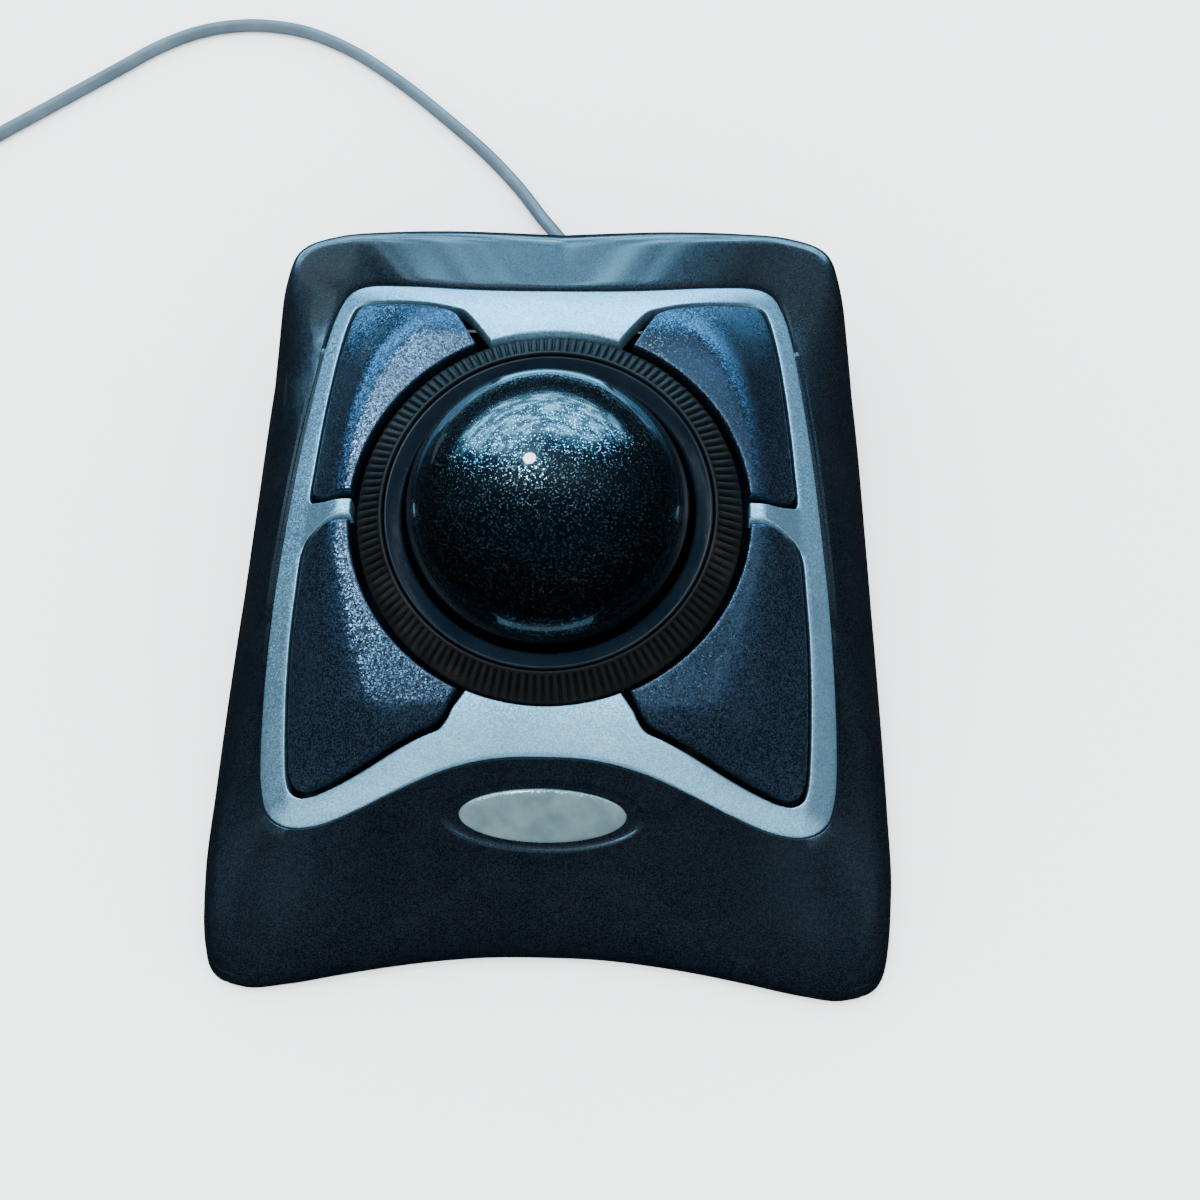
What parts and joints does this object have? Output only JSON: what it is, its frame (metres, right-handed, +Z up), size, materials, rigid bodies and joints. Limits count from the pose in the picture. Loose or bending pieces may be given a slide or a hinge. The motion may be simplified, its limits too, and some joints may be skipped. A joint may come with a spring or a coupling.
{
  "type": "trackball mouse",
  "caption": "Desktop trackball mouse: a large speckled ball in a cup, a ribbed scroll ring around it, corner buttons in a silver frame, a sloping dark housing and a coiled cord.",
  "frame": {"origin": "centre of the body's footprint, on the table under the feet, with the cord left out", "axes": "+X to the user's right, +Y away from the user toward the cord, +Z up"},
  "size_m": [0.297, 0.2772, 0.0645],
  "materials": {
    "housing_graphite": "satin graphite metallic paint on plastic",
    "bezel_silver_blue": "satin silver-blue metallic paint",
    "button_graphite": "dark metallic with fine flakes",
    "ring_rubber": "matte black",
    "cup_gloss_black": "gloss navy-black",
    "ball_speckled": "gloss with silver speckles under clear resin",
    "base_black": "matte black",
    "bright_steel": "bright",
    "bearing_pin": "polished",
    "board_green": "solder mask",
    "chip_black": "moulded",
    "nylon_white": "natural nylon",
    "lens_clear": "clear",
    "led_red": "clear red",
    "badge_silver": "domed clear resin over silver",
    "cord_grey": "matte dark grey jacket"
  },
  "bodies": {
    "housing": {"base_plate": "base_black", "top_cover": "housing_graphite", "bezel_frame": "bezel_silver_blue", "ball_cup": "cup_gloss_black", "ring_glide": "nylon_white", "support_bearing_1": "bearing_pin", "support_bearing_2": "bearing_pin", "support_bearing_3": "bearing_pin", "circuit_board": "board_green", "controller_chip": "chip_black", "cord_connector": "nylon_white", "optical_sensor": "chip_black", "sensor_lens": "lens_clear", "sensor_led": "led_red", "sensor_board": "board_green", "ring_sensor": "chip_black", "microswitch_rear_left": "chip_black", "microswitch_rear_right": "chip_black", "microswitch_front_left": "chip_black", "microswitch_front_right": "chip_black", "rubber_foot_1": "ring_rubber", "rubber_foot_2": "ring_rubber", "rubber_foot_3": "ring_rubber", "rubber_foot_4": "ring_rubber", "case_screw_1": "bright_steel", "case_screw_2": "bright_steel", "case_screw_3": "bright_steel", "case_screw_4": "bright_steel", "badge_dome": "badge_silver", "strain_relief": "cord_grey", "cord_tube": "cord_grey", "cord_coil": "cord_grey", "plug_relief": "base_black", "plug_body": "base_black", "plug_shell": "bright_steel", "plug_tongue": "nylon_white"},
    "ball": {"trackball": "ball_speckled"},
    "ring": {"scroll_ring": "ring_rubber", "code_ring": "chip_black"},
    "button_rear_left": {"button_rear_left": "button_graphite"},
    "plunger_rear_left": {"switch_plunger_rear_left": "nylon_white"},
    "button_rear_right": {"button_rear_right": "button_graphite"},
    "plunger_rear_right": {"switch_plunger_rear_right": "nylon_white"},
    "button_front_left": {"button_front_left": "button_graphite"},
    "plunger_front_left": {"switch_plunger_front_left": "nylon_white"},
    "button_front_right": {"button_front_right": "button_graphite"},
    "plunger_front_right": {"switch_plunger_front_right": "nylon_white"}
  },
  "joints": [
    {"name": "ball_roll", "type": "hinge", "parent": "housing", "child": "ball", "pos_m": [0, 0.0085, 0.037], "axis": [1, 0, 0], "continuous": true},
    {"name": "ring_turn", "type": "hinge", "parent": "housing", "child": "ring", "pos_m": [0, 0.0085, 0.037], "axis": [0, -0.1357, 0.9907], "continuous": true},
    {"name": "button_rear_left_press", "type": "hinge", "parent": "housing", "child": "button_rear_left", "pos_m": [-0.0465, 0.034, 0.0295], "axis": [0, 1, 0], "range_deg": [0, 2], "stiffness_Nm_per_rad": 0.3},
    {"name": "plunger_rear_left_slide", "type": "slide", "parent": "housing", "child": "plunger_rear_left", "axis": [0, 0, -1], "range_m": [0, 0.0006]},
    {"name": "button_rear_right_press", "type": "hinge", "parent": "housing", "child": "button_rear_right", "pos_m": [0.0465, 0.034, 0.0295], "axis": [0, -1, 0], "range_deg": [0, 2], "stiffness_Nm_per_rad": 0.3},
    {"name": "plunger_rear_right_slide", "type": "slide", "parent": "housing", "child": "plunger_rear_right", "axis": [0, 0, -1], "range_m": [0, 0.0006]},
    {"name": "button_front_left_press", "type": "hinge", "parent": "housing", "child": "button_front_left", "pos_m": [-0.0504, -0.018, 0.0195], "axis": [0, 1, 0], "range_deg": [0, 2], "stiffness_Nm_per_rad": 0.3},
    {"name": "plunger_front_left_slide", "type": "slide", "parent": "housing", "child": "plunger_front_left", "axis": [0, 0, -1], "range_m": [0, 0.0006]},
    {"name": "button_front_right_press", "type": "hinge", "parent": "housing", "child": "button_front_right", "pos_m": [0.0504, -0.018, 0.0195], "axis": [0, -1, 0], "range_deg": [0, 2], "stiffness_Nm_per_rad": 0.3},
    {"name": "plunger_front_right_slide", "type": "slide", "parent": "housing", "child": "plunger_front_right", "axis": [0, 0, -1], "range_m": [0, 0.0006]}
  ],
  "couplings": [
    {"joint": "plunger_rear_left_slide", "follows": "button_rear_left_press", "m_per_rad": 0.0095},
    {"joint": "plunger_rear_right_slide", "follows": "button_rear_right_press", "m_per_rad": 0.0095},
    {"joint": "plunger_front_left_slide", "follows": "button_front_left_press", "m_per_rad": 0.0124},
    {"joint": "plunger_front_right_slide", "follows": "button_front_right_press", "m_per_rad": 0.0124}
  ]
}
